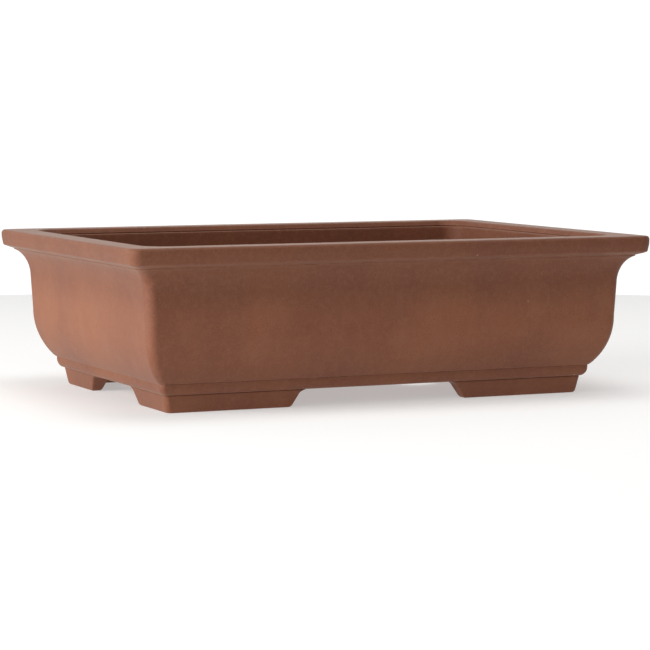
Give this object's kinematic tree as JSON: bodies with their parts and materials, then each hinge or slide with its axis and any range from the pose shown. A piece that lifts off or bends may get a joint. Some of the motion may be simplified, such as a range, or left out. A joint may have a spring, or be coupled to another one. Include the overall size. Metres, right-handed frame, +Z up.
{
  "type": "bonsai pot",
  "caption": "Shallow rectangular planter with a wide flat rim, softly rounded walls drawn in at the foot, a base moulding, and bracket feet at the corners.",
  "frame": {"origin": "middle of the footprint, on the surface that the feet stand on", "axes": "+X along the long sides, +Y across the pot towards the back, +Z up towards the open mouth"},
  "size_m": [0.45, 0.325, 0.13],
  "materials": {
    "stoneware": "matte, unglazed"
  },
  "bodies": {
    "root": {"floor_slab": "stoneware", "wall_front": "stoneware", "wall_right": "stoneware", "wall_back": "stoneware", "wall_left": "stoneware", "rim_front": "stoneware", "rim_right": "stoneware", "rim_back": "stoneware", "rim_left": "stoneware", "band_front": "stoneware", "band_right": "stoneware", "band_back": "stoneware", "band_left": "stoneware", "foot_front_right": "stoneware", "foot_front_left": "stoneware", "foot_back_right": "stoneware", "foot_back_left": "stoneware"}
  },
  "joints": []
}
